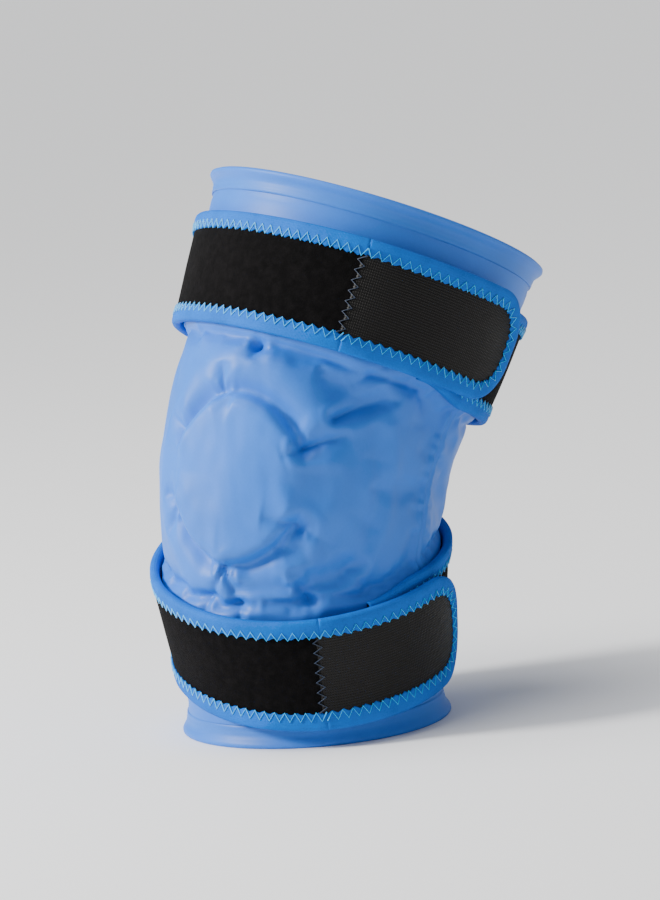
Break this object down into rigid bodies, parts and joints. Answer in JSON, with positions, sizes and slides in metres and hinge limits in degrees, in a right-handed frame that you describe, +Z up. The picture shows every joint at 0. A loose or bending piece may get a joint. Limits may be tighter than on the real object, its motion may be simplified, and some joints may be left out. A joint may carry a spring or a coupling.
{
  "type": "knee cold compression wrap",
  "caption": "Gel cold wrap shaped round a slightly bent knee, with a round kneecap chamber, welted rims and two hook-and-loop straps whose tabs peel open.",
  "frame": {"origin": "middle of the object's box on the plane that the lower rim stands on", "axes": "+Z up along the shin, -Y the front of the knee, +X the side that the strap tabs point to"},
  "size_m": [0.1911, 0.216, 0.2816],
  "materials": {
    "outer_film": "soft satin film",
    "lining": "soft brushed lining",
    "gel": "soft gel",
    "rim": "satin welded film",
    "loop_fabric": "brushed loop over neoprene",
    "edge_tape": "woven edge tape with zigzag stitching",
    "tab_mesh": "fine woven mesh",
    "hook_fastener": "moulded hooks"
  },
  "bodies": {
    "pack": {"outer_film": "outer_film", "inner_lining": "lining", "kneecap_gel": "gel", "front_gel": "gel", "left_side_gel": "gel", "right_side_gel": "gel", "lower_rim": "rim", "upper_rim": "rim", "upper_strap": "loop_fabric", "upper_strap_top_binding": "edge_tape", "upper_strap_bottom_binding": "edge_tape", "upper_strap_anchor": "outer_film", "lower_strap": "loop_fabric", "lower_strap_top_binding": "edge_tape", "lower_strap_bottom_binding": "edge_tape", "lower_strap_anchor": "outer_film"},
    "upper_tab": {"upper_hook_tab": "tab_mesh", "upper_tab_binding": "edge_tape", "upper_hook_patch": "hook_fastener"},
    "lower_tab": {"lower_hook_tab": "tab_mesh", "lower_tab_binding": "edge_tape", "lower_hook_patch": "hook_fastener"}
  },
  "joints": [
    {"name": "upper_tab_peel", "type": "hinge", "parent": "pack", "child": "upper_tab", "pos_m": [0.04775, -0.07063, 0.21987], "axis": [-0.2304, -0.3348, -0.9137], "range_deg": [0, 80]},
    {"name": "lower_tab_peel", "type": "hinge", "parent": "pack", "child": "lower_tab", "pos_m": [0.02454, -0.09138, 0.03713], "axis": [-0.0695, 0.1341, -0.9885], "range_deg": [0, 80]}
  ]
}
